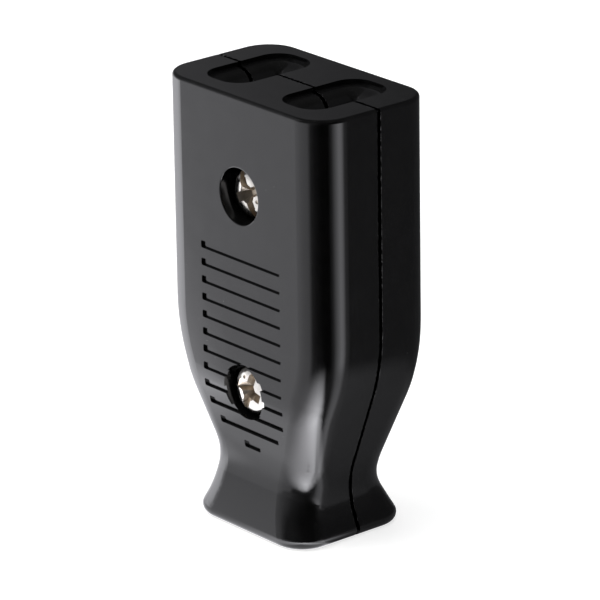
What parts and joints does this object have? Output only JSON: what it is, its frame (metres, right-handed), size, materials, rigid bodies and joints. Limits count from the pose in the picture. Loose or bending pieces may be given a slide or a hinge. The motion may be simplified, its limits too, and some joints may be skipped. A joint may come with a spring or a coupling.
{
  "type": "in-line cable connector",
  "caption": "Rewirable two-pole female cord connector body: two black moulded shells joined by recessed screws, blade openings on top, flared cord end below.",
  "frame": {"origin": "middle of the overall box in plan, on the cord end's face", "axes": "+Z out of the mating face, -Y to the front, where the assembly screws go in, +X across the two poles"},
  "size_m": [0.0272, 0.0166, 0.0507],
  "materials": {
    "shell_plastic": "glossy black moulded thermoset plastic",
    "plated_screw": "bright nickel plated steel",
    "plated_nut": "nickel plated steel",
    "contact_alloy": "satin copper alloy strip",
    "spring_steel": "satin spring steel"
  },
  "bodies": {
    "root": {"assembly_screw_lower": "plated_screw", "assembly_screw_upper": "plated_screw", "contact_left": "contact_alloy", "contact_right": "contact_alloy", "contact_spring_left": "spring_steel", "contact_spring_right": "spring_steel", "front_shell": "shell_plastic", "nut_lower": "plated_nut", "nut_upper": "plated_nut", "rear_shell": "shell_plastic", "terminal_clamp_washer_left": "plated_nut", "terminal_clamp_washer_right": "plated_nut", "terminal_screw_left": "plated_screw", "terminal_screw_right": "plated_screw", "terminal_spring_washer_left": "spring_steel", "terminal_spring_washer_right": "spring_steel"}
  },
  "joints": []
}
